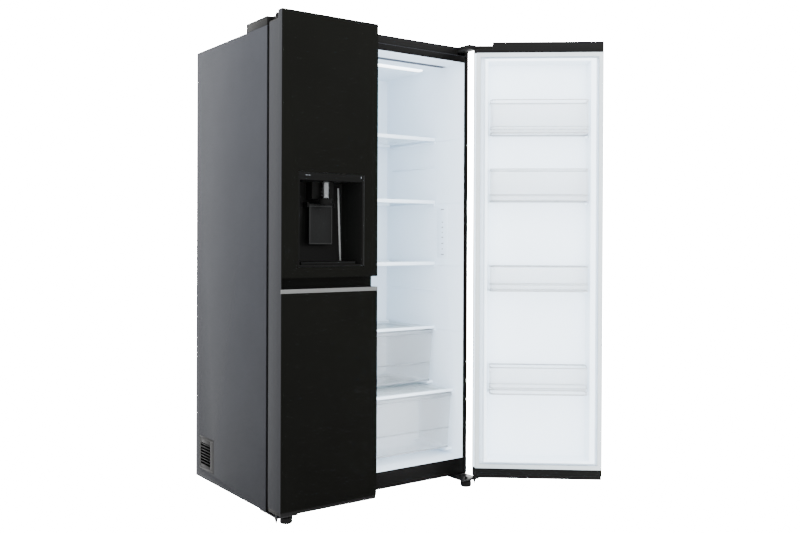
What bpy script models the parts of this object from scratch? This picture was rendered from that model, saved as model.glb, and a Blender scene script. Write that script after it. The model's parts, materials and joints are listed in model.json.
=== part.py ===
"""Side by side refrigerator: cabinet, two hinged doors, water dispenser and everything inside.

The design frame has X across the cabinet (0 at its centre), Y from the front of the closed doors
to the back, and Z up from the floor. Each door is drawn closed and turned about its hinge pin by
its anchor. At the end the whole object moves so that its origin is under the middle of its box.
"""
import math

import bmesh
import bpy
from mathutils import Matrix, Vector

# ---- Overall sizes, in metres ----
WIDTH = 0.918
HEIGHT = 1.790
DEPTH = 0.735
FIT = 0.0003                  # gap between pieces that touch

# ---- Cabinet ----
CASE_BOTTOM = 0.033
CASE_TOP = HEIGHT - 0.038
COVER_TOP = HEIGHT - 0.006    # top of the hinge cover
COVER_DEPTH = 0.165
SHEET = 0.002                 # outer steel
FRAME_THICK = 0.0035
FLANGE = 0.0195               # steel rim beside each compartment
MULLION = 0.050               # wall between the compartments
OPEN_BOTTOM = 0.1006
OPEN_TOP = CASE_TOP - 0.0265
OPENING = OPEN_TOP - OPEN_BOTTOM
LINER_WALL = 0.002
LINER_BACK = DEPTH - 0.060
MACHINE_TOP = 0.310
MACHINE_FRONT = DEPTH - 0.283
STEP_WALL = 0.032             # insulation round the machine room
BASE_GAP = 0.0015             # base floor above the lower edge of the sides

# ---- Doors ----
DOOR_DEPTH = 0.097
GASKET_GAP = 0.015            # between the closed door and the cabinet
DOOR_BOTTOM = 0.041
DOOR_TOP_GAP = 0.0005
SPLIT_GAP = 0.005             # between the two doors
FREEZER_DOOR_WIDTH = 0.3965
SKIN = 0.002
SKIN_BOTTOM = 0.0535
TOP_CAP = 0.045
BOTTOM_CAP = 0.044
GASKET_WIDTH = 0.017
GASKET_INSET = 0.0105         # from the door's side to the gasket on the hinge side
GASKET_FREE_INSET = 0.003
LINER_THICK = 0.002
DYKE_MARGIN_HINGE = 0.040
DYKE_MARGIN_FREE = 0.028
DYKE_MARGIN_END = 0.022
DYKE_DRAFT = 0.006
DYKE_RIM = 0.010
DYKE_RIM_FREE = 0.020
CAVITY_DRAFT = 0.008
CAVITY_DRAFT_FREE = 0.012
FRIDGE_DYKE = 0.032
FREEZER_DYKE = 0.040
FRIDGE_CAVITY_Y = 0.080
FREEZER_CAVITY_Y = 0.114

# ---- Hinges ----
PIN_INSET = 0.010             # pin axis from the side of the cabinet
PIN_Y = 0.049
PIN_RADIUS = 0.005
PIN_CLEAR = 0.0004
OPEN_ANGLE = math.radians(140.3)
POCKET_WIDTH = 0.075
POCKET_FRONT = 0.030
POCKET_FLOOR = HEIGHT - 0.028
PLATE_THICK = 0.004
PLATE_BOTTOM = HEIGHT - 0.025
ARM_INNER = 0.047             # hinge arm edges, measured inwards from the pin
ARM_OUTER = 0.010
LOWER_PLATE_TOP = 0.0325
LOWER_PLATE_THICK = 0.005
LOWER_PIN_TOP = 0.066

# ---- Pocket handles ----
GROOVE_BOTTOM = 0.8235
GROOVE_TOP = 0.8626
GROOVE_DEPTH = 0.042
TRIM_HEIGHT = 0.0145
TRIM_THICK = 0.003

# ---- Dispenser ----
RECESS_LEFT = 0.071           # from the hinge side of the door
RECESS_RIGHT = 0.0675         # from the free side of the door
RECESS_BOTTOM = 0.9075
RECESS_TOP = 1.205
RECESS_DEPTH = 0.105
RECESS_TAPER = 0.024
PANEL_TOP = 1.232             # top of the control strip above the recess
BEZEL = 0.0045
BEZEL_RIGHT = 0.009
BEZEL_BOTTOM = 0.0075
HOUSING_WALL = 0.0025
NOZZLE_Y = 0.044
NOZZLE_RADIUS = 0.0135
NOZZLE_BOTTOM = 1.142
COLLAR_RADIUS = 0.029
COLLAR_BOTTOM = 1.124
LEVER_WIDTH = 0.097
LEVER_TOP = 1.122
LEVER_BOTTOM = 0.979
LEVER_Y = 0.076
LEVER_THICK = 0.006
PIVOT_RADIUS = 0.0045
TRAY_HEIGHT = 0.010

# ---- Inside the fresh food compartment ----
SHELF_FRONT = 0.302
SHELF_BACK = LINER_BACK - 0.020
GLASS = 0.004
SHELF_LIP = 0.013
SHELF_SIDE_GAP = 0.003
RAIL_OUT = 0.007
RAIL_HEIGHT = 0.008
LOWER_COVER_TOP = MACHINE_TOP + STEP_WALL + 0.036
UPPER_COVER_TOP = LOWER_COVER_TOP + 0.251
SHELF_TOPS = tuple(UPPER_COVER_TOP + share * (OPEN_TOP - UPPER_COVER_TOP)
                   for share in (0.7305, 0.4870, 0.2490))
COVER_THICK = 0.012
LOWER_COVER_FRONT = 0.172
CRISPER_WALL = 0.0025
CRISPER_SIDE_GAP = 0.0095
CRISPER_TAPER = 0.010
UPPER_CRISPER_BOTTOM = LOWER_COVER_TOP + 0.0145
LOWER_CRISPER_BOTTOM = OPEN_BOTTOM + 0.0314
RUNNER_OUT = 0.028
RUNNER_HEIGHT = 0.011
DUCT_THICK = 0.010
DUCT_SIDE_GAP = 0.087
DUCT_SLOT = 0.060             # width of each air slot in the duct
LAMP_SIDE_GAP = 0.042
LAMP_Y = (0.345, 0.375)

# ---- Door bins: (bottom, top), from the bottom's share of the height and the bin's own height ----
FRIDGE_BINS = tuple((share * HEIGHT, share * HEIGHT + tall) for share, tall in
                    ((0.7894, 0.1345), (0.6413, 0.1290), (0.4441, 0.1005), (0.2184, 0.1090)))
FREEZER_BINS = tuple((share * HEIGHT, share * HEIGHT + 0.115) for share in (0.7737, 0.3352))
BIN_DEPTH = 0.105
FREEZER_BIN_DEPTH = 0.085
BIN_WALL = 0.0025
BIN_CORNER = 0.028
BIN_SIDE_GAP = 0.0015
BIN_BACK_GAP = 0.002
LUG_OUT = 0.008
LUG_HEIGHT = 0.010
LUG_DEPTH = 0.022

# ---- Inside the freezer compartment ----
FREEZER_FRONT = 0.250         # front of the shelf, the ice bin and the drawer
FREEZER_SHELF_TOP = OPEN_BOTTOM + 0.5474 * OPENING
ICE_MAKER_DROP = 0.1655       # bottom of the ice maker below the ceiling
ICE_MAKER_HEIGHT = 0.100
ICE_BIN_HEIGHT = 0.170
ICE_BIN_GAP = 0.060           # between the ice bin and the ice maker
ICE_BIN_BOTTOM = OPEN_TOP - ICE_MAKER_DROP - ICE_BIN_GAP - ICE_BIN_HEIGHT
DRAWER_HEIGHT = 0.222
EVAPORATOR_COVER_Y = LINER_BACK - 0.085
EVAPORATOR_HEIGHT = 0.330
EVAPORATOR_SIDE_GAP = 0.032
EVAPORATOR_FAN_RADIUS = 0.055
ICE_MAKER_SIDE_GAP = 0.047
VENT_SIDE_GAP = 0.077         # from the side walls to the air slots in the evaporator's cover

# ---- Feet and rollers ----
FOOT_INSET = 0.051
FOOT_Y = 0.054
FOOT_RADIUS = 0.0225
FOOT_HEIGHT = 0.026
STEM_RADIUS = 0.005
STEM_TOP = 0.038
ROLLER_RADIUS = 0.020
ROLLER_WIDTH = 0.022
ROLLER_INSET = 0.060
ROLLER_Y = DEPTH - 0.075
AXLE_RADIUS = 0.004

# ---- Machine room ----
PUMP_BASE = (0.200, 0.130, 0.004)
PUMP_RADII = (0.085, 0.072, 0.085)
FAN_X = 0.035
FAN_RADIUS = 0.070
CONDENSER_SIZE = (0.200, 0.150, 0.170)
MACHINE_GAP = 0.015           # between the fan and its neighbours
COVER_SLOT = 0.080            # width of each slot in the rear cover
COVER_SLOT_PITCH = 0.108

# ---- Side vent ----
VENT_FRONT = DEPTH - 0.1765
VENT_BACK = DEPTH - 0.039
VENT_BOTTOM = 0.070
VENT_TOP = 0.203
VENT_THICK = 0.003

# ---- Values worked out from the sizes above ----
HALF = WIDTH / 2
CASE_FRONT = DOOR_DEPTH + GASKET_GAP
INSIDE = HALF - SHEET - FIT
BASE_FLOOR = CASE_BOTTOM + BASE_GAP
LINER_FRONT = CASE_FRONT + FRAME_THICK + FIT
STEP_Y = MACHINE_FRONT - STEP_WALL
STEP_Z = MACHINE_TOP + STEP_WALL
MULLION_X = -HALF + FREEZER_DOOR_WIDTH + SPLIT_GAP / 2
FRESH = (MULLION_X + MULLION / 2, HALF - FLANGE)
COLD = (-HALF + FLANGE, MULLION_X - MULLION / 2)
PIN_X = HALF - PIN_INSET
DOOR_TOP = HEIGHT - DOOR_TOP_GAP
CAP_BOTTOM = HEIGHT - TOP_CAP
FOOT_CAP_TOP = DOOR_BOTTOM + BOTTOM_CAP
FRIDGE_DOOR = (-HALF + FREEZER_DOOR_WIDTH + SPLIT_GAP, HALF)
FREEZER_DOOR = (-HALF, -HALF + FREEZER_DOOR_WIDTH)
TRIM_BOTTOM = GROOVE_BOTTOM - TRIM_HEIGHT
RECESS = (FREEZER_DOOR[0] + RECESS_LEFT, FREEZER_DOOR[1] - RECESS_RIGHT)
RECESS_X = sum(RECESS) / 2
REAR_Y = DEPTH - SHEET / 2
ROUND_STEPS = 24
SMOOTH_ANGLE = math.radians(35)

COLOURS = {
    "side_steel": ((0.165, 0.170, 0.182), 0.45, 0.3),
    "black_front": ((0.014, 0.014, 0.013), 0.32, 0.2),
    "black_plastic": ((0.012, 0.012, 0.013), 0.5, 0.0),
    "white_plastic": ((0.80, 0.84, 0.87), 0.4, 0.0),
    "clear_plastic": ((0.88, 0.92, 0.94), 0.15, 0.0),
    "glass": ((0.78, 0.86, 0.86), 0.08, 0.0),
    "grey_rubber": ((0.62, 0.66, 0.66), 0.7, 0.0),
    "bright_trim": ((0.62, 0.62, 0.60), 0.3, 0.9),
    "chrome": ((0.75, 0.76, 0.77), 0.1, 1.0),
    "zinc_steel": ((0.45, 0.46, 0.47), 0.4, 0.9),
    "foam": ((0.80, 0.68, 0.42), 0.9, 0.0),
    "fin_metal": ((0.70, 0.71, 0.72), 0.4, 0.9),
    "black_enamel": ((0.020, 0.020, 0.022), 0.35, 0.3),
}


# ---- Scene and helpers ----
for old in list(bpy.data.objects):
    bpy.data.objects.remove(old)
parts = bpy.data.collections.new("side_by_side_refrigerator")
cutters = bpy.data.collections.new("cutters")
bpy.context.scene.collection.children.link(parts)
bpy.context.scene.collection.children.link(cutters)
home = {}                     # each object's own origin, in the design frame


def anchor(name, at, parent=None, turn=0.0):
    """An empty that carries a moving group, on its joint axis."""
    empty = bpy.data.objects.new(name, None)
    parts.objects.link(empty)
    home[name] = Vector(at)
    empty.parent = parent
    empty.location = home[name] - (home[parent.name] if parent else Vector())
    empty.rotation_euler.z = turn
    return empty


def material(name):
    if name in bpy.data.materials:
        return bpy.data.materials[name]
    colour, rough, metal = COLOURS[name]
    made = bpy.data.materials.new(name)
    made.use_nodes = True
    shader = made.node_tree.nodes["Principled BSDF"]
    shader.inputs["Base Color"].default_value = (*colour, 1.0)
    shader.inputs["Roughness"].default_value = rough
    shader.inputs["Metallic"].default_value = metal
    return made


def mesh_object(name, bm, at, parent, collection):
    """Puts a mesh drawn in the design frame on an object whose origin is at the point given."""
    bmesh.ops.translate(bm, verts=bm.verts, vec=-Vector(at))
    mesh = bpy.data.meshes.new(name)
    bm.to_mesh(mesh)
    bm.free()
    obj = bpy.data.objects.new(name, mesh)
    collection.objects.link(obj)
    home[name] = Vector(at)
    obj.parent = parent
    obj.location = home[name] - home[parent.name]
    return obj


def part(name, bm, slot, parent, at=None, smooth=False):
    origin = home[parent.name] if at is None else Vector(at)
    obj = mesh_object(name, bm, origin, parent, parts)
    obj.data.materials.append(material(slot))
    if smooth:
        obj.data.shade_smooth()
        obj.data.set_sharp_from_angle(angle=SMOOTH_ANGLE)
    return obj


def block(bm, x, y, z):
    """A box between the two values given on each axis."""
    centre = Vector(((x[0] + x[1]) / 2, (y[0] + y[1]) / 2, (z[0] + z[1]) / 2))
    size = Vector((x[1] - x[0], y[1] - y[0], z[1] - z[0]))
    place = Matrix.Translation(centre) @ Matrix.Diagonal((*size, 1.0))
    return bmesh.ops.create_cube(bm, size=1.0, matrix=place)["verts"]


def box(*blocks):
    bm = bmesh.new()
    for x, y, z in blocks:
        block(bm, x, y, z)
    return bm


def rod(at, radius, length, axis="Z", steps=ROUND_STEPS, end_radius=None):
    """A cylinder or cone that starts at a point and runs along an axis."""
    bm = bmesh.new()
    turn = {"Z": Matrix(), "X": Matrix.Rotation(math.pi / 2, 4, "Y"),
            "Y": Matrix.Rotation(-math.pi / 2, 4, "X")}[axis]
    place = Matrix.Translation(at) @ turn @ Matrix.Translation((0, 0, length / 2))
    bmesh.ops.create_cone(bm, cap_ends=True, segments=steps, radius1=radius,
                          radius2=radius if end_radius is None else end_radius,
                          depth=length, matrix=place)
    return bm


def prism(outline, x):
    """A side outline of (Y, Z) points, drawn along X."""
    bm = bmesh.new()
    face = bm.faces.new([bm.verts.new((x[0], y, z)) for y, z in outline])
    grown = bmesh.ops.extrude_face_region(bm, geom=[face])["geom"]
    moved = [v for v in grown if isinstance(v, bmesh.types.BMVert)]
    bmesh.ops.translate(bm, verts=moved, vec=(x[1] - x[0], 0, 0))
    bmesh.ops.recalc_face_normals(bm, faces=bm.faces)
    return bm


def open_side(bm, axis, value):
    """Takes away the faces that lie wholly at one value of an axis."""
    gone = [f for f in bm.faces if all(abs(v.co[axis] - value) < 1e-6 for v in f.verts)]
    bmesh.ops.delete(bm, geom=gone, context="FACES")


def thicken(obj, wall, offset=-1.0):
    made = obj.modifiers.new("wall", "SOLIDIFY")
    made.thickness = wall
    made.offset = offset
    made.use_even_offset = True
    made.use_quality_normals = True


def combine(obj, bm, operation):
    """Cuts a shape drawn in the design frame out of a piece, or joins it on."""
    helper = mesh_object(f"{obj.name}_{operation.lower()}_{len(obj.modifiers)}", bm,
                         home[obj.name], obj.parent, cutters)
    helper.hide_render = True
    helper.display_type = "WIRE"
    made = obj.modifiers.new(operation.lower(), "BOOLEAN")
    made.operation = operation
    made.solver = "EXACT"
    made.object = helper


def cut(obj, *blocks):
    combine(obj, box(*blocks), "DIFFERENCE")


def join(obj, *blocks):
    combine(obj, box(*blocks), "UNION")


def tub(x, y, z, taper=0.0, corner=0.0):
    """An open topped box, narrower at the bottom by the taper, with round upright front corners."""
    bm = bmesh.new()
    verts = block(bm, x, y, z)
    for vert in verts:
        if vert.co.z < sum(z) / 2:
            vert.co.x += taper if vert.co.x < sum(x) / 2 else -taper
            vert.co.y += taper if vert.co.y < sum(y) / 2 else -taper
    open_side(bm, 2, z[1])
    if corner:
        front = y[0] if corner > 0 else y[1]
        uprights = [e for e in bm.edges
                    if abs(e.verts[0].co.y - front) < 1e-6 and abs(e.verts[1].co.y - front) < 1e-6
                    and abs(e.verts[0].co.z - e.verts[1].co.z) > 1e-4]
        bmesh.ops.bevel(bm, geom=uprights, offset=abs(corner), segments=3, profile=0.5,
                        affect="EDGES", material=-1)
    return bm


def stepped_sheet(levels, sign):
    """A sheet that steps in and out, through rectangles (X, Z, Y), and faces this way along Y."""
    bm = bmesh.new()
    x, z, y = levels[0]
    far = y - sign
    verts = block(bm, x, sorted((y, far)), z)
    face = next(f for f in bm.faces if all(abs(v.co.y - y) < 1e-6 for v in f.verts))
    for x, z, y in levels[1:]:
        middle = face.calc_center_median()
        bmesh.ops.inset_individual(bm, faces=[face], thickness=0.001)
        for vert in face.verts:
            vert.co = (x[vert.co.x > middle.x], y, z[vert.co.z > middle.z])
    bmesh.ops.delete(bm, geom=[v for v in verts if abs(v.co.y - far) < 1e-6], context="VERTS")
    return bm


def inset(span, low, high):
    return span[0] + low, span[1] - high


def spread(centre, width):
    return centre - width / 2, centre + width / 2


# ---- Cabinet ----
def machine_outline(front, bottom, step_y, step_z, back, top):
    return ((front, bottom), (step_y, bottom), (step_y, step_z), (back, step_z), (back, top),
            (front, top))


def liner_outline(grow, front):
    return machine_outline(front, OPEN_BOTTOM - grow, STEP_Y + grow, STEP_Z - grow,
                           LINER_BACK + grow, OPEN_TOP + grow)


def cabinet_shell(root):
    bm = box(((-HALF, HALF), (CASE_FRONT, DEPTH), (CASE_BOTTOM, CASE_TOP)))
    open_side(bm, 1, CASE_FRONT)
    open_side(bm, 1, DEPTH)
    open_side(bm, 2, CASE_BOTTOM)
    shell = part("cabinet_shell", bm, "side_steel", root)
    thicken(shell, SHEET)
    cut(shell, ((-HALF - SHEET, -HALF + 2 * SHEET), (VENT_FRONT - FIT, VENT_BACK + FIT),
                (VENT_BOTTOM - FIT, VENT_TOP + FIT)))


def base_frame(root):
    floor, sheet, back = BASE_FLOOR, SHEET, DEPTH - 2 * SHEET
    outline = ((LINER_FRONT, floor), (back, floor), (back, floor + sheet),
               (MACHINE_FRONT + sheet, floor + sheet), (MACHINE_FRONT + sheet, MACHINE_TOP - sheet),
               (back, MACHINE_TOP - sheet), (back, MACHINE_TOP), (MACHINE_FRONT, MACHINE_TOP),
               (MACHINE_FRONT, floor + sheet), (LINER_FRONT, floor + sheet))
    frame = part("base_frame", prism(outline, (-INSIDE, INSIDE)), "zinc_steel", root)
    ear = 0.0025
    for side in (-1, 1):
        middle = side * (HALF - ROLLER_INSET)
        cheeks = [spread(middle + way * (ROLLER_WIDTH / 2 + 0.001 + ear / 2), ear) for way in (-1, 1)]
        cut(frame, (spread(middle, ROLLER_WIDTH + 0.002), spread(ROLLER_Y, 2 * ROLLER_RADIUS + 0.006),
                    (floor - sheet, floor + 2 * sheet)))
        join(frame, *[(cheek, spread(ROLLER_Y, 0.030), (ROLLER_RADIUS - 0.008, floor + sheet / 2))
                      for cheek in cheeks])
        cut(frame, *[(spread(sum(cheek) / 2, 2 * ear), spread(ROLLER_Y, 2 * AXLE_RADIUS + 0.0008),
                      (0.0, ROLLER_RADIUS + AXLE_RADIUS + 0.0004)) for cheek in cheeks])


def cabinet_foam(root):
    outline = machine_outline(LINER_FRONT, BASE_FLOOR + SHEET + FIT, MACHINE_FRONT - FIT,
                              MACHINE_TOP + FIT, REAR_Y - SHEET - FIT, CASE_TOP - SHEET - FIT)
    foam = part("cabinet_foam", prism(outline, (-INSIDE, INSIDE)), "foam", root)
    hollow = LINER_WALL + FIT
    for span in (FRESH, COLD):
        shape = prism(liner_outline(hollow, CASE_FRONT), (span[0] - hollow, span[1] + hollow))
        combine(foam, shape, "DIFFERENCE")


def liner(name, span, root, rails):
    """A compartment liner with ledges on both side walls: (top, front, back, reach, height)."""
    bm = prism(liner_outline(0.0, LINER_FRONT), span)
    open_side(bm, 1, LINER_FRONT)
    made = part(name, bm, "white_plastic", root)
    thicken(made, LINER_WALL, 1.0)
    ledges = []
    for top, front, back, reach, height in rails:
        depth = (front, min(back, LINER_BACK - FIT))
        for wall in ((span[0] - LINER_WALL / 2, span[0] + reach),
                     (span[1] - reach, span[1] + LINER_WALL / 2)):
            ledges.append((wall, depth, (top - height, top)))
    join(made, *ledges)


def front_frame(root):
    frame = part("front_frame", box(((-INSIDE, INSIDE), (CASE_FRONT, CASE_FRONT + FRAME_THICK),
                                     (CASE_BOTTOM + 0.001, CASE_TOP - SHEET - FIT))),
                 "black_front", root)
    depth = (CASE_FRONT - SHEET, CASE_FRONT + 2 * FRAME_THICK)
    cut(frame, (FRESH, depth, (OPEN_BOTTOM, OPEN_TOP)), (COLD, depth, (OPEN_BOTTOM, OPEN_TOP)))


def back_covers(root):
    part("rear_panel", box(((-INSIDE, INSIDE), (REAR_Y - SHEET, REAR_Y),
                            (MACHINE_TOP + FIT, CASE_TOP - SHEET - FIT))), "zinc_steel", root)
    bottom, top = BASE_FLOOR + SHEET + FIT, MACHINE_TOP - SHEET - FIT
    cover = part("machine_room_cover", box(((-INSIDE, INSIDE), (DEPTH - 2 * SHEET + FIT, REAR_Y),
                                            (bottom, top))), "black_enamel", root)
    slots = []
    for column in range(6):
        for row in range(5):
            middle = (column - 2.5) * COVER_SLOT_PITCH
            low = bottom + 0.060 + 0.030 * row
            slots.append((spread(middle, COVER_SLOT), (REAR_Y - 0.02, REAR_Y + 0.01), (low, low + 0.012)))
    cut(cover, *slots)
    gland = (INSIDE - 0.045, DEPTH - 0.014, top - 0.030)
    combine(cover, rod(gland, 0.010, 0.0138, "Y", 16), "UNION")
    combine(cover, rod((gland[0], gland[1] - 0.004, gland[2]), 0.0045, 0.030, "Y", 12), "DIFFERENCE")


def side_vent(root):
    wall = (-HALF, -HALF + VENT_THICK)
    grille = part("side_vent_grille", box((wall, (VENT_FRONT, VENT_BACK), (VENT_BOTTOM, VENT_TOP))),
                  "black_plastic", root)
    gap, bar, first = 0.0085, 0.0045, VENT_BOTTOM + 0.024
    cut(grille, *[((wall[0] - 0.01, wall[1] + 0.01), (VENT_FRONT + 0.036, VENT_BACK - 0.012),
                   (first + k * (gap + bar), first + k * (gap + bar) + gap)) for k in range(7)])


def hinge_cover(root):
    """The black moulding on the cabinet's front top edge, with a nose over each hinge."""
    back = CASE_FRONT + COVER_DEPTH
    base = CASE_TOP + FIT
    bm = box(((-HALF, HALF), (CASE_FRONT, back), (base, COVER_TOP)))
    open_side(bm, 2, base)
    cover = part("top_hinge_cover", bm, "black_plastic", root)
    thicken(cover, 0.0025)
    over = PLATE_BOTTOM + PLATE_THICK + FIT
    for side in (-1, 1):
        arm = sorted((side * (PIN_X - ARM_INNER), side * (PIN_X - ARM_OUTER)))
        join(cover, (arm, (PIN_Y - 0.010, CASE_FRONT + 0.002), (over, COVER_TOP - 0.0005)))
        boss = rod((side * PIN_X, PIN_Y, over), PIN_INSET - 0.001, COVER_TOP - 0.0005 - over)
        bridge = sorted((side * PIN_X, side * (PIN_X - ARM_OUTER - 0.004)))
        combine(cover, boss, "UNION")
        join(cover, (bridge, spread(PIN_Y, 2 * PIN_INSET - 0.003), (over, COVER_TOP - 0.0008)))
        gap = (arm[0] - 0.001, arm[1] + 0.001)
        cut(cover, (gap, (CASE_FRONT - 0.01, CASE_FRONT + 0.01), (base - 0.001, over)))


def top_hinge(name, side, root):
    plate = (PLATE_BOTTOM, PLATE_BOTTOM + PLATE_THICK)
    arm = sorted((side * (PIN_X - ARM_INNER), side * (PIN_X - ARM_OUTER)))
    hinge = part(name, box((arm, (PIN_Y - 0.009, CASE_FRONT + 0.105), plate)), "zinc_steel", root)
    end = sorted((side * (PIN_X - ARM_OUTER - 0.004), side * PIN_X))
    join(hinge, (end, spread(PIN_Y, 0.014), plate))
    combine(hinge, rod((side * PIN_X, PIN_Y, plate[0]), 0.0085, PLATE_THICK - 0.0002), "UNION")
    pin_bottom = CAP_BOTTOM + 0.0015
    combine(hinge, rod((side * PIN_X, PIN_Y, pin_bottom), PIN_RADIUS,
                       PLATE_BOTTOM + PLATE_THICK / 2 - pin_bottom, steps=16), "UNION")
    foot = sorted((side * (PIN_X - ARM_INNER - 0.020), side * (PIN_X - ARM_OUTER)))
    join(hinge, (foot, (CASE_FRONT + 0.030, CASE_FRONT + 0.110), (CASE_TOP + FIT, plate[1] - 0.0002)))


def bottom_hinge(name, side, root):
    """A steel plate under the cabinet that carries the lower pin and the front foot."""
    plate = (LOWER_PLATE_TOP - LOWER_PLATE_THICK, LOWER_PLATE_TOP)
    reach = sorted((side * (HALF - FOOT_INSET - 0.034), side * (HALF - 0.002)))
    hinge = part(name, box((reach, (PIN_Y - 0.019, CASE_FRONT + 0.050), plate)), "black_enamel", root)
    combine(hinge, rod((side * PIN_X, PIN_Y, plate[1] - 0.001), PIN_RADIUS,
                       LOWER_PIN_TOP - plate[1] + 0.001, steps=16), "UNION")
    combine(hinge, rod((side * PIN_X, PIN_Y, 0.006), 0.0015, plate[0] + 0.001 - 0.006,
                       steps=12, end_radius=0.0078), "UNION")
    combine(hinge, rod((side * (HALF - FOOT_INSET), FOOT_Y, 0.02), STEM_RADIUS + PIN_CLEAR, 0.03,
                       steps=16), "DIFFERENCE")


def front_foot(name, side, root):
    """A levelling foot: a stem in the hinge plate over a round pad."""
    at = (side * (HALF - FOOT_INSET), FOOT_Y, 0.0)
    axis = anchor(f"{name}_axis", at, root)
    profile = ((0.0, STEM_TOP), (STEM_RADIUS, STEM_TOP), (STEM_RADIUS, FOOT_HEIGHT),
               (FOOT_RADIUS - 0.005, FOOT_HEIGHT), (FOOT_RADIUS, FOOT_HEIGHT - 0.005),
               (FOOT_RADIUS, 0.004), (FOOT_RADIUS - 0.004, 0.0), (0.0, 0.0))
    bm = bmesh.new()
    verts = [bm.verts.new((at[0] + r, at[1], z)) for r, z in profile]
    for a, b in zip(verts, verts[1:]):
        bm.edges.new((a, b))
    foot = part(name, bm, "black_plastic", axis, smooth=True)
    screw = foot.modifiers.new("turned", "SCREW")
    screw.axis = "Z"
    screw.steps = ROUND_STEPS
    screw.render_steps = ROUND_STEPS
    screw.use_merge_vertices = True
    screw.merge_threshold = 0.0001


def rear_roller(name, side, root):
    middle = side * (HALF - ROLLER_INSET)
    axis = anchor(f"{name}_axis", (middle, ROLLER_Y, ROLLER_RADIUS), root)
    roller = part(name, rod((middle - ROLLER_WIDTH / 2, ROLLER_Y, ROLLER_RADIUS), ROLLER_RADIUS,
                            ROLLER_WIDTH, "X"), "black_plastic", axis, smooth=True)
    length = ROLLER_WIDTH + 0.010
    combine(roller, rod((middle - length / 2, ROLLER_Y, ROLLER_RADIUS), AXLE_RADIUS, length, "X", 12),
            "UNION")


def blades(name, at, radius, depth, slot, parent):
    """A small axial fan: a hub with pitched blades, turning about Y."""
    axis = anchor(f"{name}_axis", at, parent)
    hub = radius * 0.32
    fan = part(name, rod((at[0], at[1] - depth / 2, at[2]), hub, depth, "Y", 16), slot, axis,
               smooth=True)
    for k in range(5):
        bm = bmesh.new()
        length = radius - hub * 0.6
        bmesh.ops.create_cube(bm, size=1.0, matrix=Matrix.Diagonal((length, 0.003, radius * 0.5, 1.0)))
        spin = (Matrix.Translation(at) @ Matrix.Rotation(2 * math.pi * k / 5, 4, "Y")
                @ Matrix.Translation((hub * 0.6 + length / 2, 0, 0)) @ Matrix.Rotation(0.5, 4, "X"))
        bmesh.ops.transform(bm, matrix=spin, verts=bm.verts)
        combine(fan, bm, "UNION")


def finned(name, x, y, z, fins, parent):
    """A heat exchanger: end plates joined by upright fins with air gaps between them."""
    coil = part(name, box((x, y, z)), "fin_metal", parent)
    pitch = (x[1] - x[0]) / fins
    cut(coil, *[(spread(x[0] + pitch * (k + 0.5), pitch * 0.55), (y[0] - 0.01, y[1] + 0.01),
                 (z[0] + 0.012, z[1] - 0.012)) for k in range(fins)])


def machine_room(root):
    """Compressor, condenser and fan on the base floor behind the compartments."""
    floor = BASE_FLOOR + SHEET + FIT
    middle = (MACHINE_FRONT + DEPTH) / 2
    pump_x = FAN_X + FAN_RADIUS + 2 * MACHINE_GAP + PUMP_BASE[0] / 2
    pump = part("compressor", box((spread(pump_x, PUMP_BASE[0]), spread(middle, PUMP_BASE[1]),
                                   (floor, floor + PUMP_BASE[2]))), "black_enamel", root, smooth=True)
    bm = bmesh.new()
    bmesh.ops.create_uvsphere(bm, u_segments=20, v_segments=12, radius=1.0)
    bmesh.ops.scale(bm, verts=bm.verts, vec=PUMP_RADII)
    bmesh.ops.translate(bm, verts=bm.verts, vec=(pump_x, middle, floor + PUMP_RADII[2] + 0.003))
    combine(pump, bm, "UNION")
    coil_end = FAN_X - FAN_RADIUS - MACHINE_GAP
    finned("condenser", (coil_end - CONDENSER_SIZE[0], coil_end), spread(middle, CONDENSER_SIZE[1]),
           (floor, floor + CONDENSER_SIZE[2]), 9, root)
    blades("condenser_fan", (FAN_X, middle, floor + FAN_RADIUS + 0.020), FAN_RADIUS, 0.024,
           "black_plastic", root)


# ---- Fresh food compartment ----
def glass_shelf(name, span, top, front, back, root, lip=SHELF_LIP):
    """A glass plate with a moulded lip along its front and back."""
    x = inset(span, SHELF_SIDE_GAP, SHELF_SIDE_GAP)
    shelf = part(name, box((x, (front + 0.004, back - 0.004), (top - GLASS, top))), "glass", root)
    join(shelf, (x, (front, front + 0.014), (top - lip, top + 0.002)),
         (x, (back - 0.012, back), (top - lip, top + 0.002)))


def crisper(name, z, front, back, root):
    x = inset(FRESH, CRISPER_SIDE_GAP, CRISPER_SIDE_GAP)
    made = part(name, tub(x, (front, back), z, CRISPER_TAPER), "clear_plastic", root)
    thicken(made, CRISPER_WALL)
    join(made, ((x[0] + 0.002, x[1] - 0.002), (front - 0.004, front + CRISPER_WALL / 2 + 0.001),
                (z[1] - 0.016, z[1] - 0.001)))


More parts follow.
